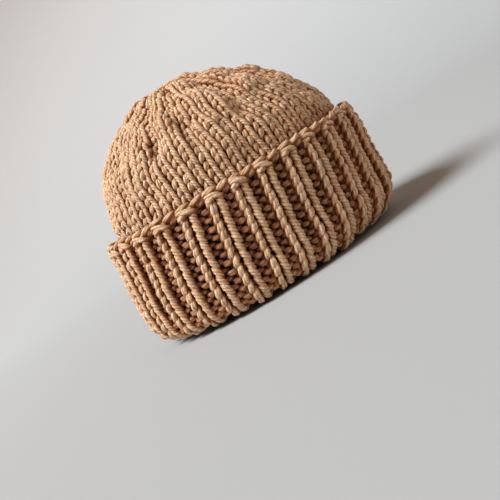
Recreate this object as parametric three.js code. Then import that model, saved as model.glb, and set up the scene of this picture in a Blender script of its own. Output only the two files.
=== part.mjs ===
import * as THREE from 'three';

// A chunky knitted beanie with a turned-up ribbed cuff, standing on its rim.
// Millimetres, +Z up, +X to the front, origin under the middle of the rim.

// Sizes of the knitting
const CUFF_WALL = 10.5; // rib knit in the turned-up cuff
const BAND_WALL = 8.5; // rib knit in the layer behind the cuff
const CROWN_WALL = 8.5; // plain knit of the crown
const RIBS = 30; // rib repeats round the cuff
const RIDGES = 60; // stitch columns round the foot of the crown
const GATHERS = 12; // lines along which the crown narrows to its top
const SEAM_GAP = 0.3; // clearance between two pieces that meet
const PLAIN_COLUMNS = 60; // facets round a face with no relief

// Lie of the hat
const SET_BACK = 0.05; // widest place behind the middle, as a share of the length
const TIP_DEG = 0.5; // how far the rows of knitting dip towards the front
const TIP_FULL_Z = 95; // height where the rows have their full dip
const RISE_REACH = 120; // distance from the middle where a row's ends have their rise
const RISES = [
  { z: 0, rise: 3.5 },
  { z: 50, rise: 0 },
  { z: 93, rise: 1.8 },
  { z: 130, rise: 0 },
  { z: 200, rise: 0 },
];

// Levels of a face, from the rim up: height at the middle, reach to the back and
// to the front, half the width, and the share of the surface relief there.
const CUFF_OUTSIDE = [
  { z: 0.0, back: 104.5, front: 99.5, half: 87.0, relief: 0.5 },
  { z: 3.5, back: 112.2, front: 106.5, half: 92.5, relief: 0.9 },
  { z: 9.0, back: 117.6, front: 112.8, half: 96.2, relief: 1.0 },
  { z: 18.0, back: 120.8, front: 117.8, half: 97.7, relief: 1.0 },
  { z: 35.0, back: 121.6, front: 120.0, half: 98.0, relief: 1.0 },
  { z: 62.0, back: 118.6, front: 121.0, half: 98.2, relief: 1.0 },
  { z: 90.0, back: 115.6, front: 121.6, half: 97.4, relief: 0.9 },
];
const CUFF_INSIDE = [
  { z: 90.0, back: 105.1, front: 111.1, half: 86.9 },
  { z: 62.0, back: 108.1, front: 110.5, half: 87.7 },
  { z: 35.0, back: 111.1, front: 109.1, half: 87.5 },
  { z: 10.0, back: 109.6, front: 105.4, half: 87.2 },
];
const FOLD_INSIDE = [
  { z: 10.0, back: 102.2, front: 96.8, half: 79.4 },
  { z: 4.5, back: 99.4, front: 93.2, half: 78.2 },
  { z: 0.0, back: 100.6, front: 94.6, half: 81.0 },
];
const BAND_OUTSIDE = [
  { z: 10.3, back: 109.2, front: 105.0, half: 86.8 },
  { z: 35.0, back: 110.6, front: 108.6, half: 87.0 },
  { z: 62.0, back: 106.2, front: 109.2, half: 86.4 },
  { z: 93.0, back: 101.0, front: 108.7, half: 85.6 },
];
const CROWN_OUTSIDE = [
  { z: 93.3, back: 101.0, front: 108.7, half: 85.6, ridge: 1, gather: 0 },
  { z: 106.0, back: 100.6, front: 107.4, half: 85.4, ridge: 1, gather: 0 },
  { z: 119.0, back: 98.2, front: 103.0, half: 84.2, ridge: 1, gather: 0 },
  { z: 132.0, back: 95.2, front: 96.0, half: 80.6, ridge: 1, gather: 0.15 },
  { z: 144.0, back: 89.8, front: 87.2, half: 74.8, ridge: 1, gather: 0.4 },
  { z: 155.0, back: 80.6, front: 76.6, half: 67.0, ridge: 0.9, gather: 0.65 },
  { z: 165.0, back: 68.8, front: 62.8, half: 56.6, ridge: 0.8, gather: 0.85 },
  { z: 174.0, back: 54.6, front: 47.2, half: 44.4, ridge: 0, gather: 1 },
  { z: 181.0, back: 41.6, front: 33.0, half: 32.6, ridge: 0, gather: 1 },
  { z: 185.8, back: 30.4, front: 19.4, half: 21.6, ridge: 0, gather: 0.9 },
  { z: 188.0, back: 15.6, front: 7.6, half: 11.0, ridge: 0, gather: 0.4 },
  { z: 188.2, back: 10.2, front: 2.2, half: 6.2, ridge: 0, gather: 0 },
];

// Rows of that table that the crown's inner face follows, from the top down
const CROWN_INSIDE_ROWS = [9, 8, 7, 6, 4, 2];

const RIB_TURN = 0.33; // where the first rib starts, in ribs from the front

// Across one rib: place as a share of the repeat, and depth below the crest
const RIB_SECTION = [
  { at: 0.02, drop: 1.0 },
  { at: 0.15, drop: 0.0 },
  { at: 0.27, drop: 1.6 },
  { at: 0.42, drop: 0.0 },
  { at: 0.6, drop: 1.2 },
  { at: 0.8, drop: 3.6 },
];
// The back of the rib, seen inside the hat
const BACK_RIB_SECTION = [
  { at: 0.0, drop: 2.4 },
  { at: 0.25, drop: 2.4 },
  { at: 0.5, drop: 0.0 },
  { at: 0.75, drop: 0.0 },
];
const RIDGE_DROP = 1.4; // groove between two stitch columns
const GATHER_DROP = 3.4; // deepest pucker at a gathered line
const GATHER_TURN = 0.2; // share of a gather between the front and the first line

// Edge cord and top plug
const CORD_WIDTH = 10.5;
const CORD_HEIGHT = 6.0;
const CORD_SIDES = 6;
const CORD_COLUMNS = 90;
const PLUG_TAPER = 2.0; // how much the top hole narrows on its way in
const PLUG_CROWN = 1.6; // rise of the plug's middle over its edge
const PLUG_COLUMNS = 24;
const CROWN_TOP_COLUMNS = 24;

const YARN_COLOUR = 0xb98a5a;
const EDGE_COLOUR = 0xc09060;

// How much higher the front and back of a row lie than its middle
function riseAt(z) {
  const upper = RISES.findIndex((row) => row.z > z);
  const to = RISES[upper];
  const from = upper > 0 ? RISES[upper - 1] : to;
  const part = upper > 0 ? (z - from.z) / (to.z - from.z) : 0;
  return from.rise + part * (to.rise - from.rise);
}

// Point of a level's egg-shaped outline at an angle from the front
function outlinePoint(level, angle) {
  const length = level.front + level.back;
  const middle = (level.front - level.back) / 2 - SET_BACK * length;
  const reach = Math.cos(angle) > 0 ? level.front - middle : level.back + middle;
  const x = middle + reach * Math.cos(angle);
  const y = level.half * Math.sin(angle);
  const tip = Math.tan(THREE.MathUtils.degToRad(TIP_DEG)) * Math.min(1, level.z / TIP_FULL_Z);
  const rise = riseAt(level.z) * (x / RISE_REACH) ** 2;
  return new THREE.Vector3(x, y, level.z - x * tip + rise);
}

// Length of the cuff's outline from the front to each small step round it
const OUTLINE_STEPS = 720;
const ribLevel = CUFF_OUTSIDE.find((level) => level.z > 30);
const arcLengths = [0];
for (let i = 1; i <= OUTLINE_STEPS; i++) {
  const before = outlinePoint(ribLevel, ((i - 1) / OUTLINE_STEPS) * 2 * Math.PI);
  const here = outlinePoint(ribLevel, (i / OUTLINE_STEPS) * 2 * Math.PI);
  arcLengths.push(arcLengths[i - 1] + here.distanceTo(before));
}

// Angle where a share of that outline's length is reached
function angleAtShare(share) {
  const wanted = (share - Math.floor(share)) * arcLengths[OUTLINE_STEPS];
  let step = 1;
  while (arcLengths[step] < wanted) step++;
  const part = (wanted - arcLengths[step - 1]) / (arcLengths[step] - arcLengths[step - 1]);
  return ((step - 1 + part) / OUTLINE_STEPS) * 2 * Math.PI;
}

// Shares of the way round for one ring of points
function evenShares(count) {
  return Array.from({ length: count }, (_, i) => i / count);
}

function ribShares(section) {
  return Array.from({ length: RIBS * section.length }, (_, i) => {
    const rib = Math.floor(i / section.length);
    return (rib + RIB_TURN + section[i % section.length].at) / RIBS;
  });
}

// Ring round the hat at one level, each point moved in by its own depth
function ring(level, shares, dropOf) {
  return shares.map((share, i) => {
    const angle = angleAtShare(share);
    const point = outlinePoint(level, angle);
    const ahead = outlinePoint(level, angle + 0.01);
    const behind = outlinePoint(level, angle - 0.01);
    const inward = new THREE.Vector3(behind.y - ahead.y, ahead.x - behind.x, 0).normalize();
    const moved = point.addScaledVector(inward, dropOf(i));
    return { share, point: moved };
  });
}

// Level between the rows of a table, on a smooth curve through them
function levelBetween(table, place) {
  const row = Math.min(Math.floor(place), table.length - 2);
  const t = place - row;
  const level = {};
  for (const key of Object.keys(table[0])) {
    const from = table[row][key];
    const to = table[row + 1][key];
    const before = row > 0 ? table[row - 1][key] : 2 * from - to;
    const after = row + 2 < table.length ? table[row + 2][key] : 2 * to - from;
    const start = (to - before) / 2;
    const end = (after - from) / 2;
    level[key] = from
      + t * start
      + t * t * (3 * (to - from) - 2 * start - end)
      + t * t * t * (2 * (from - to) + start + end);
  }
  return level;
}

// Point of a curved face and the direction that leads straight in from it
function facePoint(table, place, angle) {
  const low = Math.max(0, place - 0.05);
  const high = Math.min(table.length - 1, place + 0.05);
  const point = outlinePoint(levelBetween(table, place), angle);
  const up = outlinePoint(levelBetween(table, high), angle);
  up.sub(outlinePoint(levelBetween(table, low), angle));
  const along = outlinePoint(levelBetween(table, place), angle + 0.02);
  along.sub(outlinePoint(levelBetween(table, place), angle - 0.02));
  return { point, inward: up.cross(along).normalize() };
}

function faceRing(table, place, shares, dropOf) {
  return shares.map((share) => {
    const { point, inward } = facePoint(table, place, angleAtShare(share));
    return { share, point: point.addScaledVector(inward, dropOf(share)) };
  });
}

// Faces between two rings, which may have different numbers of points
function bridge(faces, lower, upper) {
  let i = 0;
  let j = 0;
  while (i < lower.count || j < upper.count) {
    const nextLower = i < lower.count ? lower.shareAt(i + 1) : Infinity;
    const nextUpper = j < upper.count ? upper.shareAt(j + 1) : Infinity;
    const a = lower.start + (i % lower.count);
    const b = upper.start + (j % upper.count);
    if (nextLower <= nextUpper) {
      faces.push(a, lower.start + ((i + 1) % lower.count), b);
      i++;
    } else {
      faces.push(a, upper.start + ((j + 1) % upper.count), b);
      j++;
    }
  }
}

// One solid from rings that follow each other, closed back to the first ring or
// with a middle point at each end
function solidOfRings(rings, ends = null) {
  const positions = [];
  const faces = [];
  const spans = rings.map((points) => {
    const start = positions.length / 3;
    points.forEach(({ point }) => positions.push(point.x, point.y, point.z));
    const shareAt = (i) => (i < points.length ? points[i].share : 1 + points[0].share);
    return { start, count: points.length, shareAt };
  });
  for (let i = 0; i + 1 < spans.length; i++) bridge(faces, spans[i], spans[i + 1]);
  if (ends) {
    const last = spans[spans.length - 1];
    const tip = positions.length / 3;
    positions.push(...ends[0], ...ends[1]);
    for (let i = 0; i < spans[0].count; i++) {
      faces.push(spans[0].start + ((i + 1) % spans[0].count), spans[0].start + i, tip);
    }
    for (let i = 0; i < last.count; i++) {
      faces.push(last.start + i, last.start + ((i + 1) % last.count), tip + 1);
    }
  } else {
    bridge(faces, spans[spans.length - 1], spans[0]);
  }
  const geometry = new THREE.BufferGeometry();
  geometry.setAttribute('position', new THREE.Float32BufferAttribute(positions, 3));
  geometry.setIndex(faces);
  geometry.computeVertexNormals();
  return geometry;
}

function knitMesh(name, geometry, colour) {
  const material = new THREE.MeshStandardMaterial({ color: colour, roughness: 0.95, metalness: 0 });
  const mesh = new THREE.Mesh(geometry, material);
  mesh.name = name;
  return mesh;
}

const noDrop = () => 0;
const plainShares = evenShares(PLAIN_COLUMNS);

// Turned-up cuff: the ribbed outer layer and the fold it stands on
function makeCuff() {
  const shares = ribShares(RIB_SECTION);
  const outside = CUFF_OUTSIDE.map((level) => {
    const dropOf = (i) => level.relief * RIB_SECTION[i % RIB_SECTION.length].drop;
    return ring(level, shares, dropOf);
  });
  const inside = [...CUFF_INSIDE, ...FOLD_INSIDE].map((level) => ring(level, plainShares, noDrop));
  return knitMesh('rib_cuff', solidOfRings([...outside, ...inside]), YARN_COLOUR);
}

// Layer of rib behind the cuff, smooth outside and ribbed towards the head
function makeBand() {
  const shares = ribShares(BACK_RIB_SECTION);
  const outside = BAND_OUTSIDE.map((level) => ring(level, plainShares, noDrop));
  const inside = BAND_OUTSIDE.map((level) => {
    const dropOf = (i) => BAND_WALL - BACK_RIB_SECTION[i % BACK_RIB_SECTION.length].drop;
    return ring(level, shares, dropOf);
  });
  return knitMesh('rib_band', solidOfRings([...outside, ...inside.reverse()]), YARN_COLOUR);
}

// Depth of the crown's surface below its crests
function crownDrop(level, share) {
  const acrossRidge = 0.5 - 0.5 * Math.cos(2 * Math.PI * RIDGES * share);
  const gatherShare = share * GATHERS - GATHER_TURN;
  const acrossGather = (0.5 + 0.5 * Math.cos(2 * Math.PI * gatherShare)) ** 2;
  return level.ridge * RIDGE_DROP * acrossRidge + level.gather * GATHER_DROP * acrossGather;
}

// Plain-knit dome, open below and pierced by the small hole at its gathered top
function makeCrown() {
  const last = CROWN_OUTSIDE.length - 1;
  const outside = CROWN_OUTSIDE.map((level, row) => {
    const topCount = row >= last - 1 ? CROWN_TOP_COLUMNS : PLAIN_COLUMNS;
    const count = level.ridge > 0 ? 2 * RIDGES : topCount;
    return faceRing(CROWN_OUTSIDE, row, evenShares(count), (share) => crownDrop(level, share));
  });
  const inside = CROWN_INSIDE_ROWS.map((row) => {
    return faceRing(CROWN_OUTSIDE, row, plainShares, () => CROWN_WALL);
  });
  const foot = { ...CROWN_OUTSIDE[0] };
  foot.back -= CROWN_WALL;
  foot.front -= CROWN_WALL;
  foot.half -= CROWN_WALL;
  inside.push(ring(foot, plainShares, noDrop));
  return knitMesh('crown', solidOfRings([...outside, topHole(0), ...inside]), YARN_COLOUR);
}

// Lower edge of the hole in the crown's top, which the plug follows at a distance
function topHole(clearance) {
  const rim = { ...CROWN_OUTSIDE[CROWN_OUTSIDE.length - 1] };
  rim.z -= CROWN_WALL;
  rim.back -= PLUG_TAPER + clearance;
  rim.front -= PLUG_TAPER + clearance;
  rim.half -= PLUG_TAPER + clearance;
  return ring(rim, evenShares(CROWN_TOP_COLUMNS), noDrop);
}

// Drawn-up end of the knitting that closes the top
function makeClosure() {
  const rim = { ...CROWN_OUTSIDE[CROWN_OUTSIDE.length - 1] };
  rim.back -= SEAM_GAP;
  rim.front -= SEAM_GAP;
  rim.half -= SEAM_GAP;
  const top = ring(rim, evenShares(PLUG_COLUMNS), noDrop);
  const middle = (rim.front - rim.back) / 2;
  const ends = [
    [middle, 0, rim.z - CROWN_WALL],
    [middle, 0, rim.z + PLUG_CROWN],
  ];
  return knitMesh('crown_closure', solidOfRings([topHole(SEAM_GAP), top], ends), YARN_COLOUR);
}

// Cast-on cord along the cuff's upper edge
function makeEdge() {
  const top = CUFF_OUTSIDE[CUFF_OUTSIDE.length - 1];
  const rings = [];
  for (let side = 0; side < CORD_SIDES; side++) {
    const angle = ((side + 0.5) / CORD_SIDES) * 2 * Math.PI;
    const level = { ...top };
    const out = (CORD_WIDTH / 2) * Math.cos(angle) - CUFF_WALL / 2;
    level.z += SEAM_GAP + (CORD_HEIGHT / 2) * (1 + Math.sin(angle));
    level.back += out;
    level.front += out;
    level.half += out;
    rings.push(ring(level, evenShares(CORD_COLUMNS), noDrop));
  }
  return knitMesh('cast_on_edge', solidOfRings(rings), EDGE_COLOUR);
}

const group = new THREE.Group();
group.add(makeCrown(), makeClosure(), makeBand(), makeCuff(), makeEdge());

export default group;
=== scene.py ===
import collections
import math

import bpy
import numpy as np
from mathutils import Matrix, Vector


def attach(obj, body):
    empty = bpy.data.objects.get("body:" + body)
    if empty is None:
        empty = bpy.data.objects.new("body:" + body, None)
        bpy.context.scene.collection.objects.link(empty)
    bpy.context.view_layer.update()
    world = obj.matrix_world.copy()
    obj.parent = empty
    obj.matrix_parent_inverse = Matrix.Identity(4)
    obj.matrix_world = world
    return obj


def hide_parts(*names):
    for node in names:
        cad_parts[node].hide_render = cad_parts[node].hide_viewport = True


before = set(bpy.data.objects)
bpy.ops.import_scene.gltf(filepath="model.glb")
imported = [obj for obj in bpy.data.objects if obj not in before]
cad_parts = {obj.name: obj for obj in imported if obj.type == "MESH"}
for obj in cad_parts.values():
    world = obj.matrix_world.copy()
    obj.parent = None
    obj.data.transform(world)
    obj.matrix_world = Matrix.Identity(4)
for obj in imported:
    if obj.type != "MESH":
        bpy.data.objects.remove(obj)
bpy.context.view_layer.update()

# Chunky knitted beanie, modelled strand by strand. Lengths are in millimetres until
# a mesh is made, and the axes are those of the frame: +X front, +Z up.

MM = 0.001
SEED = 28

# Yarn
Yarn = collections.namedtuple("Yarn", "plies radius")
YARN = Yarn(plies=4, radius=2.25)
BAND_YARN = Yarn(plies=3, radius=2.7)  # fuller inside, so that no light comes through
POINTS_PER_PLY = 3
PLY_RELIEF = 0.13  # how far a ply stands out, as a share of the radius
TURN_LENGTH = 10.8  # length of yarn in which the plies go once round

# Knitting
COLUMNS = 60
RIBS = COLUMNS // 2
SECTORS = 12
ROW_HEIGHT = 6.85
PLAIN_DEPTH = 4.2  # from the crown's outer face to the middle of its knitting
RINGS_PER_STITCH = 18
BAND_RINGS_PER_STITCH = 10
CURVE_STEPS = 7  # points from one control point of a strand to the next
OUTLINE_STEPS = 720  # points round the cuff at which its length is measured
PLACES_PER_ROW = 40  # the same from one row of a fabric's table to the next
MEASURED_ANGLES = (0, math.pi / 2, math.pi)  # front, side and back, for a fabric's length
PLACE_STEP, ANGLE_STEP = 0.04, 0.02  # either side of a point, to find the way out of a fabric
ASKEW, TINY = (0.3, 0.2, 0.9), 1e-12  # a way that no strand starts along, and next to nothing
# How close rings come behind, and how much closer in front and in a twisted strand there
HIDDEN_RINGS, FRONT_RINGS, TWISTED_RINGS = 0.7, 0.3, 0.5
FEW_RINGS_DEPTH, FRONT_REACH = -1.5, 3.0

# Chance in each stitch: place across in columns, along in rows, and depth
STITCH_JITTER = (0.02, 0.05, 0.25)
EDGE_JITTER = (0.02, 0.35, 0.3)  # the same for the cast-on edge, in ribs and millimetres
FULLNESS_JITTER, TWIST_JITTER = 0.05, 0.06
WAVE_SPREAD = (0.7, 2.0)  # of the wave lengths in a soft unevenness

# Lie of the hat, as in the frame
SET_BACK = 0.05  # of the widest place behind the middle, as a share of the length
TIP = math.tan(math.radians(0.5))  # how steeply the rows go down to the front
TIP_FULL_Z = 95.0  # height from which they do so in full
RISE_REACH = 120.0  # from the middle of a row to where its ends have their rise
RISES = ((0, 4.8), (50, 0.0), (93, 2.6), (130, 0.0))  # height, rise of a row's ends
FLOOR_SOFT = 1.2  # yarn under this height is pressed flat by the floor

# Middle of the ribbed fabric from the cast-on edge, down the cuff, round the fold and
# up inside: height, reach to the back, reach to the front, half the width.
RIB_LAYER = (
    (100.0, 109.0, 115.6, 91.4),
    (90.0, 110.3, 116.0, 91.9),
    (76.0, 111.6, 115.8, 92.2),
    (56.0, 113.8, 115.4, 92.5),
    (38.0, 115.6, 114.4, 92.4),
    (24.0, 115.4, 114.2, 92.2),
    (14.2, 113.2, 110.6, 90.4),
    (8.8, 108.8, 104.8, 87.2),
    (7.3, 104.2, 99.4, 84.0),
    (10.2, 101.4, 96.0, 81.6),
    (16.0, 102.4, 97.4, 81.2),
    (30.0, 104.8, 101.9, 82.4),
    (50.0, 103.8, 104.0, 82.6),
    (72.0, 100.4, 104.4, 81.8),
    (92.0, 96.8, 104.3, 81.2),
)
# Outer face of the crown from its foot to its gathered top, in the same way
CROWN = (
    (86.45, 101.4, 108.9, 85.7),
    (93.3, 101.0, 108.7, 85.6),
    (106.0, 100.6, 107.4, 85.4),
    (119.0, 98.2, 103.0, 84.2),
    (132.0, 95.2, 96.0, 80.6),
    (144.0, 90.0, 87.2, 74.8),
    (155.0, 81.4, 76.8, 67.2),
    (165.0, 70.4, 63.2, 57.2),
    (174.0, 57.0, 47.8, 45.2),
    (180.6, 43.6, 33.4, 33.4),
    (184.6, 31.4, 19.8, 22.2),
    (186.2, 15.8, 7.8, 11.2),
    (186.4, 9.0, 1.0, 5.0),
)
# Shares of the puckers at the gathered lines, and of the folds between them, in those rows
CROWN_GATHER = (0, 0, 0, 0, 0.15, 0.4, 0.65, 0.85, 1, 1, 0.9, 0.4, 0)
CROWN_LOOSE = (0.5, 0.6, 0.8, 0.9, 1, 1, 1, 0.9, 0.7, 0.4, 0.15, 0, 0)
GATHER_DROP = 4.2  # depth of the puckers where they are full
GATHER_TURN = 0.2  # where the first pucker is, in sectors from the front
PUCKER_UNEVEN = 0.45  # how much the puckers differ in depth
SECTOR_TURN = 0.3  # where the first sector starts, in sectors from the front
CROWN_FOLD, FOLD_FROM = 1.2, 0.1  # depth of the folds, and the wave that they start from
# Deeper folds and ridges of the side in the photo: degrees from the front, height, half
# width, half height, depth, and how far it leans to the front on its way up that half height
DEEP_FOLDS = (
    (225, 132, 5.5, 14, 2.8, 1.0),
    (241, 114, 4.5, 14, 2.2, 1.0),
    (252, 143, 5.0, 10, 4.8, 6.5),
    (265, 108, 4.5, 12, 2.0, 0.0),
    (273, 137, 5.0, 16, 5.0, -0.8),
    (298, 139, 5.0, 13, 5.0, 4.3),
    (311, 133, 6.5, 9, 3.2, 0.0),
    (242, 145, 6.0, 25, -1.6, 13.0),
    (264, 164, 5.0, 14, -1.0, -5.0),
    (284, 132, 6.0, 25, -1.6, -4.0),
)
FOLD_ARM = 90.0  # arm at which the folds' widths are measured
CROWN_LIFT = 0.9  # how far the rows go up and down on their way round
CROWN_SWELL, GATHER_SWELL = 0.4, 0.8  # unevenness in depth, and more of it at the gathers
CROWN_SWAY, GATHER_SWAY = 0.0014, 0.3  # and sideways, in turns, with its growth there

EDGE_ALONG = 8.0  # from the layer's first row to the middle of the cast-on edge
EDGE_UP = 0.8  # how far the edge's outer side faces up as well
EDGE_TUCK, TUCK_LENGTH = 1.6, 7.0  # how deep, and how far down, the edge draws in the ribs
# Row at the fold, how many rows from it the purl ribs come out, and how far they do
FOLD_ROW, FOLD_ROWS, FOLD_OPENING = 12.2, 1.8, 2.6
RIB_ANGLE_LEVEL = (35.0, 121.6, 119.6, 98.0)  # outline along which the ribs are equally wide
# Unevenness of the ribs outwards and, in ribs, sideways, and how far the rows go up and down
RIB_SWELL, RIB_SWAY, RIB_LIFT = 0.4, 0.015, 0.5

CROWN_ROWS = 22
NARROWINGS = {0: 5, 9: 4, 13: 3, 16: 2, 19: 1}  # stitch columns in a sector from a row on
NARROW_WEIGHT, WIDE_WEIGHT = 0.8, 1.35  # of the columns before and after one is given up

# A stitch from the strand that joins it to the one before, over the top of its loop and
# down: place across the column in column widths, place along it in rows, depth, fullness,
# and how tightly the plies turn.
PLAIN_STITCH = (
    (-0.50, -0.62, -2.6, 1.20, 0.5),
    (-0.34, -0.64, -1.8, 1.00, 0.8),
    (-0.23, -0.44, 1.3, 0.96, 1.0),
    (-0.25, -0.05, 2.5, 1.02, 1.0),
    (-0.27, 0.35, 2.5, 1.02, 1.0),
    (-0.29, 0.72, 1.5, 0.98, 1.0),
    (-0.22, 1.02, -1.9, 0.98, 0.6),
    (0.08, 1.12, -3.1, 1.20, 0.5),
    (0.34, 0.96, -2.6, 0.92, 0.4),
    (0.43, 0.70, -1.0, 0.86, 0.25),
    (0.38, 0.38, 1.6, 1.02, 0.25),
    (0.27, 0.02, 2.4, 1.06, 0.25),
    (0.14, -0.36, 0.8, 0.84, 0.3),
    (0.24, -0.68, -2.3, 1.00, 0.5),
)
KNIT_RIB_STITCH = (
    (-0.50, -0.58, -1.4, 1.05, 0.5),
    (-0.28, -0.66, -1.0, 0.95, 0.3),
    (-0.17, -0.40, 1.5, 0.90, 0.3),
    (-0.24, 0.04, 3.8, 1.12, 0.3),
    (-0.33, 0.46, 3.3, 1.08, 0.3),
    (-0.38, 0.82, 0.6, 0.88, 0.3),
    (-0.18, 1.08, -1.4, 0.98, 0.5),
    (0.12, 1.12, -1.2, 0.98, 0.8),
    (0.33, 0.92, 0.4, 1.04, 1.0),
    (0.35, 0.56, 2.1, 1.24, 1.0),
    (0.30, 0.14, 2.8, 1.30, 1.0),
    (0.24, -0.26, 2.3, 1.26, 1.0),
    (0.29, -0.60, -0.6, 1.02, 0.8),
)
PURL_RIB_STITCH = (
    (-0.50, -0.58, -1.6, 1.00, 0.6),
    (-0.28, -0.56, -1.2, 1.04, 0.5),
    (-0.10, -0.46, -3.0, 1.05, 0.5),
    (-0.14, 0.05, -5.0, 1.15, 0.6),
    (-0.24, 0.58, -4.4, 1.10, 0.6),
    (-0.20, 0.86, -2.6, 0.95, 0.5),
    (-0.02, 0.95, -0.6, 1.02, 0.4),
    (0.20, 1.00, -0.1, 1.10, 0.4),
    (0.42, 0.97, -1.6, 1.02, 0.5),
    (0.44, 0.32, -4.6, 1.12, 0.6),
    (0.34, -0.20, -4.4, 1.15, 0.6),
    (0.42, -0.50, -2.2, 1.00, 0.6),
)
# Sideways run of the ribs by share of the way round, in ribs: shift, and lean down the cuff
RIB_RUN = (
    (0.00, 0.00, -0.40),
    (0.20, 0.00, 0.00),
    (0.50, 0.00, 0.00),
    (0.62, -0.12, -0.08),
    (0.68, -0.03, -0.10),
    (0.72, 0.08, -0.12),
    (0.76, 0.06, -0.14),
    (0.82, 0.06, -0.18),
    (0.89, 0.01, -0.27),
    (1.00, 0.00, -0.40),
)
LEAN_FROM, LEAN_LENGTH = 50.0, 66.0  # from where down the cuff, and over what length
LEAN_MOST = 0.9  # the ribs stand straight again under this share of the lean
KNIT_SHARE = 0.58  # width of a knit rib in a knit and a purl rib together
RIB_TURN = 0.33  # where the first rib starts, in ribs from the front

# Strands of the cast-on edge, which come once in a rib: place across in ribs, height over
# the edge's middle, depth, fullness, and how tightly the plies turn.
EDGE_WRAP = (
    (0.02, 0.8, 0.8, 0.90, 0.4),
    (0.12, 1.1, 2.6, 0.94, 0.3),
    (0.27, 1.6, 3.1, 1.00, 0.3),
    (0.41, 2.0, 2.2, 0.92, 0.3),
    (0.49, 1.4, 0.2, 0.88, 0.4),
    (0.52, 0.0, -0.6, 0.88, 0.4),
    (0.57, -0.5, 1.4, 0.90, 0.3),
    (0.68, 0.3, 2.8, 0.98, 0.3),
    (0.81, 1.2, 3.0, 1.00, 0.3),
    (0.92, 2.0, 2.2, 0.94, 0.3),
    (0.98, 1.6, -0.2, 0.88, 0.4),
)
EDGE_FOOT = (
    (0.00, -1.4, 0.4, 0.95, 0.4),
    (0.10, -0.9, 2.4, 1.00, 0.3),
    (0.22, -1.3, 3.5, 1.06, 0.3),
    (0.38, -2.7, 3.9, 1.10, 0.3),
    (0.52, -4.3, 3.2, 1.05, 0.3),
    (0.61, -5.0, 0.4, 0.92, 0.4),
    (0.70, -4.2, -1.4, 0.90, 0.5),
    (0.80, -2.9, 0.4, 1.10, 0.5),
    (0.90, -2.2, 1.2, 1.10, 0.5),
)
EDGE_KNOT = (
    (0.02, -3.6, 0.2, 0.90, 0.4),
    (0.08, -4.9, 3.0, 1.00, 0.4),
    (0.16, -4.6, 4.2, 1.10, 0.4),
    (0.25, -3.9, 3.4, 1.00, 0.4),
    (0.31, -3.2, 0.4, 0.90, 0.4),
    (0.60, -1.0, -1.6, 0.90, 0.4),
)
EDGE_CORE = (
    (0.10, 0.2, 0.8, 1.00, 0.4),
    (0.60, 0.0, 0.6, 1.00, 0.4),
)
# With the rings of each in a rib
EDGE_STRANDS = ((EDGE_WRAP, 28), (EDGE_FOOT, 22), (EDGE_KNOT, 16), (EDGE_CORE, 6))

# Drawn-up end of the yarn in the middle of the top: a knot wound twice round
KNOT_CENTRE = (-4.3, 0.0, 184.0)
KNOT_RADIUS, KNOT_SWING, KNOT_RISE = 4.2, 1.7, 1.6  # how far its lobes go out and up
KNOT_LOBES, KNOT_TURNS, KNOT_STEPS, KNOT_RINGS = 3, 2, 400, 48

# Pieces by their first row and the row after their last
CUFF_PIECES = (("cuff_top_knit", 0, 6), ("cuff_middle_knit", 6, 11), ("cuff_fold_knit", 11, 16))
BAND_FIRST_ROW, BAND_SHORT_BY = 16, 2  # and how many rows the band leaves to the crown
CROWN_PIECES = (
    ("crown_side_knit", 0, 7),
    ("crown_shoulder_knit", 7, 13),
    ("crown_top_knit", 13, CROWN_ROWS),
)

# Wool
# Pale flecks, partly paler fibres and partly painted glints
WOOL_FLECK_GLINT = (0.92, 0.885, 0.79, 1)
WOOL_LIGHT = (0.83, 0.545, 0.295, 1)
# Colour of darker fibres and patches, and also painted shade in hollows
WOOL_MID = (0.46, 0.167, 0.045, 1)
WOOL_EDGE_SHADE = (0.25, 0.066, 0.013, 1)  # painted shade at the sides of the yarn and between its plies
# Painted shade, deeper in the fabric
WOOL_SHADE = (0.15, 0.031, 0.007, 1)
WOOL_DEEP_SHADE = (0.030, 0.005, 0.001, 1)
RIB_FACE, PLAIN_FACE = 6.3, 5.0  # how far the fabrics' outermost wool stands forward; the painted shade deepens behind it
WOOL_SHADER = {
    "Roughness": 0.65,
    "Specular IOR Level": 0.25,
    "Sheen Weight": 0.04,
    "Sheen Roughness": 0.5,
    "Sheen Tint": (1.0, 0.86, 0.70, 1),
}
FIBRE_HEIGHT, BUMP_STRENGTH = 0.0006, 0.5  # the height in metres
FIBRE_BUMP = 0.35  # height of the fibres as a share of the grooves' depth
# Noise: fibres in a ply and in a girth along it, grooves in a girth, and scales in a metre
FIBRES_ROUND, FIBRES_ALONG, FIBRE_DETAIL = 7.5, 5.0, 3.0
GROOVES_ALONG = 1.3
PATCH_SCALE, FLECK_SCALE = 90.0, 800.0

# Where a change of colour starts, where it is full, and its shares at these ends
Ramp = collections.namedtuple("Ramp", "start end low high", defaults=(0.0, 1.0))
FIBRE_RAMP = Ramp(0.3, 0.7, 0.0, 0.45)  # these three over the noise of each
PATCH_RAMP = Ramp(0.35, 0.65, 0.0, 0.3)
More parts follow.
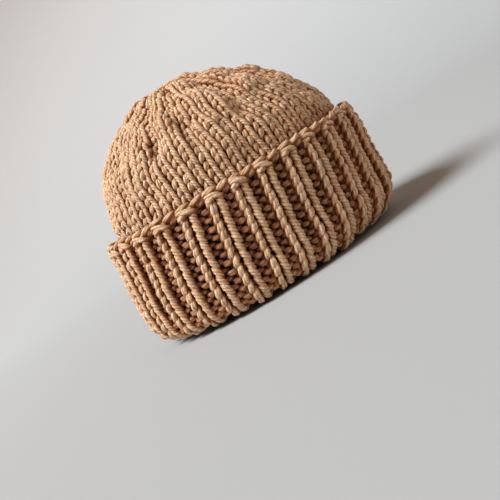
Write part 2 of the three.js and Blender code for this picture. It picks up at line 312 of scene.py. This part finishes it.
# Pale flecks, partly paler fibres and partly painted glints
FLECK_GLINT_RAMP = Ramp(0.45, 0.7, 0.0, 0.65)
GROOVE_RAMP = Ramp(0.2, 0.5)  # over the way from a ply's ridge to its groove, in plies, for the groove's painted shade and bump
GROOVE_FADE = Ramp(0.25, 0.65, 0.4, 1.0)  # over slow noise
GROOVE_SHADE_SHARE = 0.48  # of the painted edge shade in the grooves
SIDE_SHADE_RAMP = Ramp(0.8, 0.15, 0.0, 0.9)  # painted shade at the yarn's sides, over how far the yarn faces out, from 1 to -1
HOLLOW_SHADE_RAMP = Ramp(-0.5, -3.5, 0.0, 0.7)  # painted shade in hollows; these three over the depth, less than 0 in it
SHADE_RAMP = Ramp(-2.8, -6.5, 0.0, 0.65)
DEEP_SHADE_RAMP = Ramp(-5.0, -8.5)
BACK_FACING, BACK_DEPTH = Ramp(-0.3, -0.7), Ramp(-7.0, -9.0)  # where the back is seen, which is left without painted shade
COLOUR_A, COLOUR_B, COLOUR_OUT = 6, 7, 2  # sockets of a mix node that take and give colours

# Studio
# Painted light on the floor: a shaded grey and a lit grey
FLOOR_SHADED = (0.30, 0.30, 0.30, 1)
FLOOR_LIT = (0.77, 0.775, 0.785, 1)
FLOOR_LIGHT_RAMP = Ramp(-0.8, 1.6)  # painted light, paler higher up and to the left: over the height in metres, less a share of the place in x
FLOOR_LIGHT_SLANT = -0.4
FLOOR_SHADER = {"Roughness": 0.9}
# Radius of the flat part and of the bend round it in metres, and their sides and steps
FLOOR_FLAT, FLOOR_BEND, FLOOR_SIDES, FLOOR_STEPS = 1.4, 1.4, 96, 16
SKY_COLOUR, SKY_STRENGTH = (1.0, 0.72, 0.48, 1), 0.27
LAMP_TOWARDS = (0, 0, 0.1)
# A lamp's name, place in metres, colour, strength and the angle that it fills
LAMPS = (
    ("softbox", (-1.65, -0.54, 2.1), (0.89, 0.955, 1.0), 4.58, 30),
    ("warm_fill", (1.6, -1.2, 0.5), (1.0, 0.47, 0.15), 0.4, 100),
)

# Camera, worked out from the photo's outline
PHOTO_SIZE = 500
FOCAL_PIXELS = 827.0
SENSOR_WIDTH = 36
CAMERA_AT = (1.3, -700.0, 102.1)
CAMERA_YAW, CAMERA_PITCH, CAMERA_ROLL = -1.26, 5.69, 32.1
CAMERA_CLIP = (0.01, 50)


# Surface of the hat
def smooth_between(before, here, there, after, t):
    """Points on a smooth curve from one control point to the next."""
    start, end = (there - before) / 2, (after - here) / 2
    bend = 3 * (there - here) - 2 * start - end
    return here + t * start + t**2 * bend + t**3 * (2 * (here - there) + start + end)


def table_rows(table, place):
    """Rows of a table at places between them, on a smooth curve through them."""
    rows = np.asarray(table, float)
    rows = rows[:, None] if rows.ndim == 1 else rows
    # One more row at either end, a step on, lets the curve reach the first and the last
    rows = np.vstack([2 * rows[0] - rows[1], rows, 2 * rows[-1] - rows[-2]])
    place = np.clip(place, 0, len(rows) - 3)
    row = np.minimum(place.astype(int), len(rows) - 4)
    return smooth_between(*(rows[row + i] for i in range(4)), (place - row)[..., None])


def outline_point(levels, angle):
    """Points of egg-shaped outlines at angles from the front."""
    z, back, front, half = np.moveaxis(np.asarray(levels, float), -1, 0)
    middle = (front - back) / 2 - SET_BACK * (front + back)
    reach = np.where(np.cos(angle) > 0, front - middle, back + middle)
    x = middle + reach * np.cos(angle)
    y = half * np.sin(angle)
    tipped = z - x * TIP * np.minimum(1, z / TIP_FULL_Z)
    rise = np.interp(z, *np.array(RISES).T) * (x / RISE_REACH) ** 2
    return np.stack([x, y, tipped + rise], -1)


def outline_lengths():
    """Angles round the cuff, and the share of its outline up to each."""
    angles = np.linspace(0, 2 * math.pi, OUTLINE_STEPS + 1)
    points = outline_point(np.tile(RIB_ANGLE_LEVEL, (len(angles), 1)), angles)
    lengths = np.linalg.norm(np.diff(points, axis=0), axis=1)
    return angles, np.concatenate([[0], np.cumsum(lengths)]) / lengths.sum()


ANGLES, ANGLE_SHARES = outline_lengths()


def angle_at(share):
    """Angle where a share of the cuff's outline is reached, counted in whole turns."""
    turns = np.floor(share)
    return np.interp(share - turns, ANGLE_SHARES, ANGLES) + 2 * math.pi * turns


def unit(vectors):
    """Vectors of length one that point the same way."""
    return vectors / np.linalg.norm(vectors, axis=-1, keepdims=True)


def fabric_point(table, share, place, depth, side):
    """Points at a depth in front of a fabric's face in its table, and the way out there.

    The side is 1 where the table runs up the fabric and -1 where it runs down.
    """
    angle = angle_at(share)
    here = table_rows(table, place)
    above = np.minimum(place + PLACE_STEP, len(table) - 1)
    upper = outline_point(table_rows(table, above), angle)
    lower = outline_point(table_rows(table, np.maximum(place - PLACE_STEP, 0)), angle)
    ahead = outline_point(here, angle + ANGLE_STEP)
    behind = outline_point(here, angle - ANGLE_STEP)
    normal = side * unit(np.cross(ahead - behind, upper - lower))
    return outline_point(here, angle) + normal * depth[..., None], normal


def place_lengths(table):
    """Length along a fabric from its first row of the table, at fine places."""
    places = np.linspace(0, len(table) - 1, PLACES_PER_ROW * (len(table) - 1) + 1)
    total = np.zeros(len(places))
    for angle in MEASURED_ANGLES:
        points = outline_point(table_rows(table, places), np.full(len(places), angle))
        steps = np.linalg.norm(np.diff(points, axis=0), axis=1)
        total[1:] += np.cumsum(steps) / len(MEASURED_ANGLES)
    return places, total


class Unevenness:
    """Soft random waves over a fabric, the same after a full turn.

    From the coarsest to the finest number go round it, and along it they have about the length.
    """

    def __init__(self, rng, waves=9, coarsest=1, finest=9, length=45.0):
        self.turns = rng.integers(coarsest, finest, waves)
        lengths = length * rng.uniform(*WAVE_SPREAD, waves) * rng.choice([-1, 1], waves)
        self.rates = 2 * math.pi / lengths
        self.phases = rng.uniform(0, 2 * math.pi, waves)
        self.size = math.sqrt(2 / waves)

    def at(self, share, along):
        """Its value at shares of the way round and lengths along the fabric."""
        total = 0
        for turns, rate, phase in zip(self.turns, self.rates, self.phases):
            total = total + np.sin(2 * math.pi * turns * share + rate * along + phase)
        return total * self.size


class RibFabric:
    """Where the ribbed fabric's strands lie, from the cast-on edge down and up inside."""

    def __init__(self, rng):
        self.places, self.lengths = place_lengths(RIB_LAYER)
        self.rows = int(self.lengths[-1] / ROW_HEIGHT)
        self.sway = Unevenness(rng, finest=12, length=75)
        self.swell = Unevenness(rng)
        self.lift = Unevenness(rng, coarsest=6, finest=24, length=150)

    def run(self, share, along):
        """Share of the way round where the ribs really are, a little uneven and leaning."""
        at, shift, lean = np.array(RIB_RUN).T
        turn = share % 1
        down = np.clip((along - LEAN_FROM) / LEAN_LENGTH, -1, LEAN_MOST)
        ribs = np.interp(turn, at, shift) + np.interp(turn, at, lean) * down
        return share + (ribs + RIB_SWAY * self.sway.at(share, along)) / RIBS

    def points(self, share, along, depth):
        """Points of the fabric, and the way out of it there, with its unevenness."""
        along = along + RIB_LIFT * self.lift.at(share, along)
        share = self.run(share, along)
        place = np.interp(along, self.lengths, self.places)
        depth = depth + RIB_SWELL * self.swell.at(share, along)
        return fabric_point(RIB_LAYER, share, place, depth, -1)

    def edge_points(self, curve):
        """Points of the edge's strands, and the way out of it, which is also upwards."""
        points, outward = self.points(curve[:, 0], EDGE_ALONG - curve[:, 1], curve[:, 2])
        return points, unit(outward + (0, 0, EDGE_UP))

    def row_points(self, curve, row):
        """Points of a row's strand, drawn in under the cast-on edge."""
        along = EDGE_ALONG + (row + 0.5 + curve[:, 1]) * ROW_HEIGHT
        drawn_in = np.clip(1 - (along - EDGE_ALONG) / TUCK_LENGTH, 0, 1)
        return self.points(curve[:, 0], along, curve[:, 2] - EDGE_TUCK * drawn_in)


def deep_folds(angle, height):
    """How far the deeper folds of the crown draw it in at a place on it."""
    total = 0
    for at, middle, width, reach, depth, lean in DEEP_FOLDS:
        up = (height - middle) / reach
        aside = (angle % (2 * math.pi) - math.radians(at)) * FOLD_ARM
        total = total + depth * np.exp(-((aside - lean * up) / width) ** 2 - up**2)
    return total


class CrownFabric:
    """Where the crown's strands lie, from its foot to the gathered top."""

    def __init__(self, rng):
        self.places, self.lengths = place_lengths(CROWN)
        self.sway = Unevenness(rng, finest=16, length=30)
        self.swell = Unevenness(rng, finest=16, length=30)
        self.lift = Unevenness(rng, waves=14, coarsest=8, finest=36, length=120)
        self.folds = Unevenness(rng, waves=12, coarsest=7, finest=24, length=220)
        self.puckers = Unevenness(rng, finest=7, length=200)

    def row_points(self, curve, row):
        """Points of a row's strand, with the puckers and folds that it runs through."""
        share = curve[:, 0]
        flat_along = (row + 0.5 + curve[:, 1]) * ROW_HEIGHT
        flat_place = np.interp(flat_along, self.lengths, self.places)
        loose = table_rows(CROWN_LOOSE, flat_place)[:, 0]
        gather = table_rows(CROWN_GATHER, flat_place)[:, 0]
        along = flat_along + CROWN_LIFT * loose * self.lift.at(share, flat_along)
        along = np.clip(along, 0, self.lengths[-1])
        swell = (CROWN_SWELL + GATHER_SWELL * gather) * self.swell.at(share, along)
        fold = CROWN_FOLD * loose * np.maximum(0, self.folds.at(share, along) - FOLD_FROM)
        pucker = (0.5 + 0.5 * np.cos(2 * math.pi * (share * SECTORS - GATHER_TURN))) ** 2
        pucker = pucker * (1 + PUCKER_UNEVEN * self.puckers.at(share, along))
        depth = curve[:, 2] - PLAIN_DEPTH - GATHER_DROP * gather * pucker + swell - fold
        swayed = share + CROWN_SWAY * (1 + GATHER_SWAY * gather) * self.sway.at(share, along)
        place = np.interp(along, self.lengths, self.places)
        depth = depth - deep_folds(angle_at(swayed), table_rows(CROWN, place)[:, 0])
        return fabric_point(CROWN, swayed, place, depth, 1)


# Stitches
def jittered(table, jitter, rng):
    """A stitch's table with chance in its place, fullness and twist."""
    points = np.array(table)
    points[1:, :3] += rng.normal(0, 1, 3) * jitter
    points[:, 3] *= 1 + rng.normal(0, FULLNESS_JITTER)
    points[:, 4] *= 1 + rng.normal(0, TWIST_JITTER)
    return points


def row_controls(stitches, centres, widths, rng):
    """Control points of a row of loops, with the share of the way round in front."""
    controls = []
    for stitch, centre, width in zip(stitches, centres, widths):
        points = jittered(stitch, STITCH_JITTER, rng)
        points[:, 0] = centre + width * points[:, 0]
        controls.append(points)
    return np.vstack(controls)


def rib_controls(row, rng):
    """Control points of a row of the rib, knit and purl columns by turns."""
    open_share = math.exp(-((row - FOLD_ROW) / FOLD_ROWS) ** 2)
    purl = np.array(PURL_RIB_STITCH) + (0, 0, FOLD_OPENING * open_share, 0, 0)
    first = np.arange(RIBS) + RIB_TURN
    centres = np.column_stack([first + KNIT_SHARE / 2, first + (1 + KNIT_SHARE) / 2])
    widths = np.tile([KNIT_SHARE, 1 - KNIT_SHARE], RIBS)
    stitches = [KNIT_RIB_STITCH, purl] * RIBS
    return row_controls(stitches, centres.ravel() / RIBS, widths / RIBS, rng)


def edge_controls(table, rng):
    """Control points of a strand of the cast-on edge."""
    controls = []
    for rib in range(RIBS):
        points = jittered(table, EDGE_JITTER, rng)
        points[:, 0] = (rib + RIB_TURN + points[:, 0]) / RIBS
        controls.append(points)
    return np.vstack(controls)


def crown_columns(row):
    """Centres and widths of the crown's stitch columns in a row, as shares of the way round."""
    count = NARROWINGS[max(start for start in NARROWINGS if start <= row)]
    weights = np.ones(count)
    if row + 1 in NARROWINGS and count > 1:
        weights[-2:] = NARROW_WEIGHT
    if row in NARROWINGS and row > 0:
        weights[-1] = WIDE_WEIGHT
    weights /= weights.sum()
    edges = np.concatenate([[0], np.cumsum(weights)])
    centres = np.arange(SECTORS)[:, None] + SECTOR_TURN + (edges[1:] + edges[:-1]) / 2
    return centres.ravel() / SECTORS, np.tile(weights / SECTORS, SECTORS)


# Strands
def ring_density(depth, tightness):
    """How close the rings come: closest where the yarn is in front and tightly twisted."""
    in_front = np.clip((depth - FEW_RINGS_DEPTH) / FRONT_REACH, 0, 1)
    return HIDDEN_RINGS + in_front * (FRONT_RINGS + TWISTED_RINGS * tightness)


def smooth_round(points, steps):
    """Dense points on a smooth curve once round the hat; the first value is the share."""
    lap = np.array([1.0] + [0.0] * (points.shape[1] - 1))
    looped = np.vstack([points[-1:] - lap, points, points[:2] + lap])
    corners = [looped[i:len(points) + i, None] for i in range(4)]
    t = (np.arange(steps) / steps)[None, :, None]
    return smooth_between(*corners, t).reshape(-1, points.shape[1])


def spaced_closed(points, extras, count, density):
    """Points round a closed curve as close as asked for, with the values that go with them."""
    closed = np.vstack([points, points[:1]])
    steps = np.linalg.norm(np.diff(closed, axis=0), axis=1)
    along = np.concatenate([[0], np.cumsum(steps * density)])
    wanted = np.arange(count) / count * along[-1]
    spaced = np.stack([np.interp(wanted, along, closed[:, k]) for k in range(3)], -1)
    extras = np.vstack([extras, extras[:1]])
    values = np.stack([np.interp(wanted, along, column) for column in extras.T], -1)
    return spaced, values


def steady_frames(points):
    """Directions across a closed curve that turn as little as possible along it."""
    count = len(points)
    tangents = unit(np.roll(points, -1, 0) - np.roll(points, 1, 0))
    first = unit(np.cross(tangents[0], ASKEW))
    across = np.empty((count + 1, 3))
    across[0] = first
    for i in range(count):
        j = (i + 1) % count
        step = points[j] - points[i]
        scale = 2 / (step @ step)
        moved = across[i] - scale * (step @ across[i]) * step
        tangent = tangents[i] - scale * (step @ tangents[i]) * step
        turn = tangents[j] - tangent
        size = turn @ turn
        across[i + 1] = moved - (2 / size) * (turn @ moved) * turn if size > TINY else moved
    other = np.cross(tangents[0], first)
    gap = math.atan2(across[count] @ other, across[count] @ first)
    return tangents, across[:count], gap


def ply_spin(tightness, steps, gap):
    """Turn of the plies at each ring, so that they meet where the strand closes."""
    turned = np.concatenate([[0], np.cumsum(tightness * steps)]) / TURN_LENGTH
    turns = round(gap / (2 * math.pi) - turned[-1])
    return (2 * math.pi * turns - gap) * turned[:-1] / turned[-1]


def tube_faces(count, sides):
    """Faces round a closed tube, by the numbers of their corners."""
    i, j = np.repeat(np.arange(count), sides), np.tile(np.arange(sides), count)
    next_i, next_j = (i + 1) % count, (j + 1) % sides
    corners = (i * sides + j, i * sides + next_j, next_i * sides + next_j, next_i * sides + j)
    return i, j, np.stack(corners, -1)


def strand_mesh(points, fullness, tightness, yarn):
    """Rings round a closed strand, twisted with its plies, as vertices, faces and UVs."""
    count, sides = len(points), yarn.plies * POINTS_PER_PLY
    steps = np.linalg.norm(np.roll(points, -1, 0) - points, axis=1)
    tangents, across, gap = steady_frames(points)
    other = np.cross(tangents, across)
    corner = 2 * math.pi * np.arange(sides) / sides
    angle = (ply_spin(tightness, steps, gap)[:, None] + corner)[..., None]
    reach = yarn.radius * fullness[:, None] * (1 - PLY_RELIEF * np.cos(yarn.plies * corner))
    ring = np.cos(angle) * across[:, None] + np.sin(angle) * other[:, None]
    vertices = (points[:, None] + reach[..., None] * ring).reshape(-1, 3)
    i, j, faces = tube_faces(count, sides)
    girths = np.concatenate([[0], np.cumsum(steps)]) / (2 * math.pi * yarn.radius)
    u0, u1 = j / POINTS_PER_PLY, (j + 1) / POINTS_PER_PLY
    v0, v1 = girths[i], girths[i + 1]
    uvs = np.stack([u0, v0, u1, v0, u1, v1, u0, v1], -1).reshape(-1, 4, 2)
    return vertices, faces, uvs


def pressed(heights):
    """Heights with those near the floor pressed together over it."""
    soft = FLOOR_SOFT * np.exp((heights - FLOOR_SOFT) / FLOOR_SOFT)
    return np.where(heights < FLOOR_SOFT, soft, heights)


class Strands:
    """Collects the rings of many strands for one mesh."""

    def __init__(self):
        self.vertices, self.faces, self.uvs = [], [], []
        self.depths, self.facings = [], []
        self.count = 0

    def add(self, vertices, faces, uvs, depths, facings):
        """Add a strand, with its vertices' places in front of the face, and how they face."""
        self.vertices.append(vertices)
        self.faces.append(faces + self.count)
        self.uvs.append(uvs)
        self.depths.append(depths)
        self.facings.append(facings)
        self.count += len(vertices)

    def make(self, name, material):
        """One object of all the strands, in metres."""
        vertices = np.vstack(self.vertices)
        vertices[:, 2] = pressed(vertices[:, 2])
        faces = np.vstack(self.faces).astype(np.int32)
        mesh = bpy.data.meshes.new(name)
        mesh.vertices.add(len(vertices))
        mesh.vertices.foreach_set("co", (vertices * MM).ravel())
        mesh.loops.add(faces.size)
        mesh.loops.foreach_set("vertex_index", faces.ravel())
        mesh.polygons.add(len(faces))
        starts = np.arange(0, faces.size, faces.shape[1], dtype=np.int32)
        mesh.polygons.foreach_set("loop_start", starts)
        mesh.polygons.foreach_set("use_smooth", np.ones(len(faces), bool))
        layer = mesh.uv_layers.new(name="Yarn")
        layer.data.foreach_set("uv", np.vstack(self.uvs).ravel())
        for attribute, values in (("Depth", self.depths), ("Facing", self.facings)):
            data = mesh.attributes.new(attribute, "FLOAT", "POINT").data
            data.foreach_set("value", np.concatenate(values))
        mesh.update()
        mesh.materials.append(material)
        piece = bpy.data.objects.new(name, mesh)
        bpy.context.collection.objects.link(piece)
        return piece


def add_row(strands, controls, to_points, rings, face, yarn=YARN):
    """One row of loops, or one strand of the edge, as a closed strand.

    Control points hold the share of the way round, the place along, the depth, the fullness
    and the tightness of the plies.
    """
    curve = smooth_round(controls, CURVE_STEPS)
    points, outward = to_points(curve)
    values = np.column_stack([curve[:, 2:], outward])
    density = ring_density(curve[:, 2], curve[:, 4])
    spaced, values = spaced_closed(points, values, rings, density)
    depth, fullness, tightness = values[:, :3].T
    vertices, faces, uvs = strand_mesh(spaced, fullness, tightness, yarn)
    offset = vertices.reshape(rings, -1, 3) - spaced[:, None]
    facing = np.einsum("rsk,rk->rs", offset, values[:, 3:])
    depths = depth[:, None] + facing - face
    strands.add(vertices, faces, uvs, depths.ravel(), facing.ravel() / yarn.radius)


# Materials
class Shading:
    """Adds and links the nodes of one material."""

    def __init__(self, name):
        self.material = bpy.data.materials.new(name)
        self.material.use_nodes = True
        self.nodes = self.material.node_tree.nodes
        self.links = self.material.node_tree.links
        self.shader = self.nodes["Principled BSDF"]

    def put(self, value, socket):
        """Link a socket to another one, or set it to a number or a colour."""
        if isinstance(value, bpy.types.NodeSocket):
            self.links.new(value, socket)
        else:
            socket.default_value = value

    def math(self, operation, a, b=0.0):
        """The outcome of a sum on one or two values."""
        node = self.nodes.new("ShaderNodeMath")
        node.operation = operation
        for socket, value in zip(node.inputs, (a, b)):
            self.put(value, socket)
        return node.outputs[0]

    def ramp(self, value, ends):
        """A smooth change from one share to another over a range of the value."""
        node = self.nodes.new("ShaderNodeMapRange")
        node.interpolation_type = "SMOOTHSTEP"
        for socket, number in zip(node.inputs, (value, *ends)):
            self.put(number, socket)
        return node.outputs[0]

    def noise(self, vector, scale, detail=2.0):
        """Soft noise from 0 to 1."""
        node = self.nodes.new("ShaderNodeTexNoise")
        self.put(vector, node.inputs["Vector"])
        self.put(scale, node.inputs["Scale"])
        self.put(detail, node.inputs["Detail"])
        return node.outputs[0]

    def mix(self, share, a, b):
        """Colour a with a share of colour b."""
        node = self.nodes.new("ShaderNodeMix")
        node.data_type = "RGBA"
        self.put(share, node.inputs[0])
        self.put(a, node.inputs[COLOUR_A])
        self.put(b, node.inputs[COLOUR_B])
        return node.outputs[COLOUR_OUT]

    def attribute(self, name):
        """A number that each vertex has."""
        node = self.nodes.new("ShaderNodeAttribute")
        node.attribute_name = name
        return node.outputs["Fac"]

    def object_place(self):
        return self.nodes.new("ShaderNodeTexCoord").outputs["Object"]

    def yarn_place(self):
        """Place round the yarn in plies, and along it in times its girth."""
        uv = self.nodes.new("ShaderNodeUVMap")
        uv.uv_map = "Yarn"
        return self.parts(uv.outputs[0])[:2]

    def parts(self, vector):
        """The three numbers of a vector."""
        node = self.nodes.new("ShaderNodeSeparateXYZ")
        self.links.new(vector, node.inputs[0])
        return node.outputs[0], node.outputs[1], node.outputs[2]

    def vector(self, x, y):
        node = self.nodes.new("ShaderNodeCombineXYZ")
        self.put(x, node.inputs[0])
        self.put(y, node.inputs[1])
        return node.outputs[0]

    def bump(self, height, strength, distance):
        """Fine relief on the shader."""
        node = self.nodes.new("ShaderNodeBump")
        node.inputs["Strength"].default_value = strength
        node.inputs["Distance"].default_value = distance
        self.links.new(height, node.inputs["Height"])
        self.links.new(node.outputs[0], self.shader.inputs["Normal"])

    def paint(self, colour):
        """Give the shader its colour."""
        self.links.new(colour, self.shader.inputs["Base Color"])

    def set(self, values):
        """Set the shader's sockets by their names."""
        for name, value in values.items():
            self.shader.inputs[name].default_value = value


def wool_grooves(wool, round_yarn, along_yarn):
    """How deep in the grooves between the plies, fainter here and there; it gives the grooves
    painted shade and bump.
    """
    ply = wool.math("FRACT", round_yarn)
    from_ridge = wool.math("ABSOLUTE", wool.math("SUBTRACT", ply, 0.5))
    slow_along = wool.math("MULTIPLY", along_yarn, GROOVES_ALONG)
    uneven = wool.noise(wool.vector(round_yarn, slow_along), 1.0)
    return wool.math("MULTIPLY", wool.ramp(from_ridge, GROOVE_RAMP),
                     wool.ramp(uneven, GROOVE_FADE))


def wool_fibres(wool, round_yarn, along_yarn):
    """Fine noise drawn out along the plies."""
    fine_round = wool.math("MULTIPLY", round_yarn, FIBRES_ROUND)
    fine_along = wool.math("MULTIPLY", along_yarn, FIBRES_ALONG)
    return wool.noise(wool.vector(fine_round, fine_along), 1.0, FIBRE_DETAIL)


def wool_in_front(wool, fibres):
    """Colour of the wool in full view, with its fibres, patches and pale flecks, which are
    partly paler fibres and partly painted glints.
    """
    patches = wool.noise(wool.object_place(), PATCH_SCALE)
    glint_flecks = wool.noise(wool.object_place(), FLECK_SCALE)
    colour = wool.mix(wool.ramp(fibres, FIBRE_RAMP), WOOL_LIGHT, WOOL_MID)
    colour = wool.mix(wool.ramp(patches, PATCH_RAMP), colour, WOOL_MID)
    return wool.mix(wool.ramp(glint_flecks, FLECK_GLINT_RAMP), colour, WOOL_FLECK_GLINT)


def wool_material(name, back_seen):
    """Plied wool with painted shade in the depth of the fabric, at the yarn's sides and in the
    grooves between plies, but not on a back that is seen.
    """
    wool = Shading(name)
    round_yarn, along_yarn = wool.yarn_place()
    groove = wool_grooves(wool, round_yarn, along_yarn)
    fibres = wool_fibres(wool, round_yarn, along_yarn)
    depth, facing = wool.attribute("Depth"), wool.attribute("Facing")
    groove_shade = wool.math("MULTIPLY", groove, GROOVE_SHADE_SHARE)
    front = wool_in_front(wool, fibres)
    # Painted shade: the mid colour in hollows, the edge shade at the yarn's sides and in the ply
    # grooves, then the shade and deep colours further in
    colour = wool.mix(wool.ramp(depth, HOLLOW_SHADE_RAMP), front, WOOL_MID)
    colour = wool.mix(wool.ramp(facing, SIDE_SHADE_RAMP), colour, WOOL_EDGE_SHADE)
    colour = wool.mix(groove_shade, colour, WOOL_EDGE_SHADE)
    colour = wool.mix(wool.ramp(depth, SHADE_RAMP), colour, WOOL_SHADE)
    colour = wool.mix(wool.ramp(depth, DEEP_SHADE_RAMP), colour, WOOL_DEEP_SHADE)
    # The back seen from inside gets the colour without painted shade
    if back_seen:
        on_back = wool.math("MULTIPLY", wool.ramp(facing, BACK_FACING),
                            wool.ramp(depth, BACK_DEPTH))
        colour = wool.mix(on_back, colour, wool.mix(groove_shade, front, WOOL_EDGE_SHADE))
    wool.paint(colour)
    height = wool.math("SUBTRACT", wool.math("MULTIPLY", fibres, FIBRE_BUMP), groove)
    wool.bump(height, BUMP_STRENGTH, FIBRE_HEIGHT)
    wool.set(WOOL_SHADER)
    return wool.material


def floor_material(name):
    """Matt grey with painted light, paler to the back and to the left."""
    paint = Shading(name)
    x, _, z = paint.parts(paint.object_place())
    painted_light = paint.math("ADD", z, paint.math("MULTIPLY", x, FLOOR_LIGHT_SLANT))
    paint.paint(paint.mix(paint.ramp(painted_light, FLOOR_LIGHT_RAMP), FLOOR_SHADED, FLOOR_LIT))
    paint.set(FLOOR_SHADER)
    return paint.material


# Pieces
def finish_piece(piece, node):
    """Put a piece on the body, in place of its solid, which is hidden."""
    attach(piece, "root")
    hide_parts(node)


def knit_rib(name, rows, node, fabric, wool, rng, rings=RINGS_PER_STITCH, yarn=YARN):
    """Rows of one-by-one rib as a piece."""
    strands = Strands()
    for row in rows:
        add_row(strands, rib_controls(row, rng), lambda curve: fabric.row_points(curve, row),
                rings * COLUMNS, RIB_FACE, yarn)
    finish_piece(strands.make(name, wool), node)


def knit_edge(name, fabric, wool, rng):
    """The strands of the cast-on edge as a piece."""
    strands = Strands()
    for table, rings in EDGE_STRANDS:
        add_row(strands, edge_controls(table, rng), fabric.edge_points, rings * RIBS, RIB_FACE)
    finish_piece(strands.make(name, wool), "cast_on_edge")


def knit_crown(name, rows, fabric, wool, rng):
    """Rows of plain knit as a piece, narrowing to the top."""
    strands = Strands()
    for row in rows:
        centres, widths = crown_columns(row)
        controls = row_controls([PLAIN_STITCH] * len(centres), centres, widths, rng)
        add_row(strands, controls, lambda curve: fabric.row_points(curve, row),
                RINGS_PER_STITCH * len(centres), PLAIN_FACE)
    finish_piece(strands.make(name, wool), "crown")


def tie_closure(name, wool):
    """Yarn drawn up in a small knot that closes the hole in the crown's top."""
    steps = np.arange(KNOT_STEPS) / KNOT_STEPS
    turn = 2 * math.pi * KNOT_TURNS * steps
    lobe = 2 * math.pi * KNOT_LOBES * steps
    reach = KNOT_RADIUS + KNOT_SWING * np.cos(lobe)
    points = np.stack([reach * np.cos(turn), reach * np.sin(turn), KNOT_RISE * np.sin(lobe)], -1)
    spaced, _ = spaced_closed(points + KNOT_CENTRE, points, KNOT_RINGS, 1.0)
    even = np.ones(KNOT_RINGS)
    vertices, faces, uvs = strand_mesh(spaced, even, even, YARN)
    offset = vertices.reshape(KNOT_RINGS, -1, 3) - spaced[:, None]
    facing = offset[..., 2].ravel() / YARN.radius
    strands = Strands()
    strands.add(vertices, faces, uvs, KNOT_RISE * (facing - 1), facing)
    finish_piece(strands.make(name, wool), "crown_closure")


def make_hat():
    """All pieces, from the cuff to the closure, with one run of chance."""
    rng = np.random.default_rng(SEED)
    rib_wool, crown_wool = wool_material("rib_wool", False), wool_material("crown_wool", True)
    rib, crown = RibFabric(rng), CrownFabric(rng)
    for name, first, end in CUFF_PIECES:
        knit_rib(name, range(first, end), "rib_cuff", rib, rib_wool, rng)
    knit_edge("cast_on_edge_knit", rib, rib_wool, rng)
    band_rows = range(BAND_FIRST_ROW, rib.rows - BAND_SHORT_BY)
    knit_rib("rib_band_knit", band_rows, "rib_band", rib, rib_wool, rng,
             BAND_RINGS_PER_STITCH, BAND_YARN)
    for name, first, end in CROWN_PIECES:
        knit_crown(name, range(first, end), crown, crown_wool, rng)
    tie_closure("crown_closure_knit", crown_wool)


# Studio
def make_floor():
    """Round floor that bends up into a wall far behind the hat."""
    bends = np.linspace(0, math.pi / 2, FLOOR_STEPS + 1)
    profile = [(FLOOR_FLAT + FLOOR_BEND * math.sin(b), FLOOR_BEND * (1 - math.cos(b)))
               for b in bends]
    turns = 2 * math.pi * np.arange(FLOOR_SIDES) / FLOOR_SIDES
    vertices = [(0, 0, 0)]
    for reach, height in profile:
        vertices += [(reach * math.cos(t), reach * math.sin(t), height) for t in turns]
    faces = [(0, 1 + i, 1 + (i + 1) % FLOOR_SIDES) for i in range(FLOOR_SIDES)]
    for ring in range(FLOOR_STEPS):
        inner, outer = 1 + ring * FLOOR_SIDES, 1 + (ring + 1) * FLOOR_SIDES
        for i in range(FLOOR_SIDES):
            j = (i + 1) % FLOOR_SIDES
            faces.append((inner + i, outer + i, outer + j, inner + j))
    mesh = bpy.data.meshes.new("studio_floor")
    mesh.from_pydata(vertices, [], faces)
    mesh.shade_smooth()
    mesh.materials.append(floor_material("pale_floor"))
    floor = bpy.data.objects.new("studio_floor", mesh)
    bpy.context.collection.objects.link(floor)


def make_lights():
    """A soft warm sky and the lamps."""
    world = bpy.data.worlds.new("studio")
    bpy.context.scene.world = world
    world.use_nodes = True
    sky = world.node_tree.nodes["Background"]
    sky.inputs["Color"].default_value = SKY_COLOUR
    sky.inputs["Strength"].default_value = SKY_STRENGTH
    for lamp in LAMPS:
        make_lamp(*lamp)
    bpy.context.scene.view_settings.view_transform = "Standard"


def make_lamp(name, place, colour, strength, angle):
    """A soft lamp that shines from a place past the hat."""
    data = bpy.data.lights.new(name, "SUN")
    data.color, data.energy = colour, strength
    data.angle = math.radians(angle)
    lamp = bpy.data.objects.new(name, data)
    lamp.location = place
    lamp.rotation_mode = "QUATERNION"
    lamp.rotation_quaternion = (Vector(LAMP_TOWARDS) - lamp.location).to_track_quat("-Z", "Y")
    bpy.context.collection.objects.link(lamp)


def make_camera():
    """The photo's view of the hat, rolled as the hat is tilted there."""
    yaw, pitch, roll = (math.radians(a) for a in (CAMERA_YAW, CAMERA_PITCH, CAMERA_ROLL))
    forward = np.array([math.sin(yaw) * math.cos(pitch), math.cos(yaw) * math.cos(pitch),
                        -math.sin(pitch)])
    level = unit(np.cross(forward, (0, 0, 1)))
    upright = np.cross(level, forward)
    data = bpy.data.cameras.new("camera")
    data.sensor_width = SENSOR_WIDTH
    data.lens = FOCAL_PIXELS / PHOTO_SIZE * SENSOR_WIDTH
    data.clip_start, data.clip_end = CAMERA_CLIP
    camera = bpy.data.objects.new("camera", data)
    bpy.context.collection.objects.link(camera)
    matrix = np.eye(4)
    matrix[:3, 0] = math.cos(roll) * level - math.sin(roll) * upright
    matrix[:3, 1] = math.sin(roll) * level + math.cos(roll) * upright
    matrix[:3, 2] = -forward
    matrix[:3, 3] = np.array(CAMERA_AT) * MM
    camera.matrix_world = Matrix(matrix.tolist())
    bpy.context.scene.camera = camera


make_camera()
make_lights()
make_floor()
make_hat()
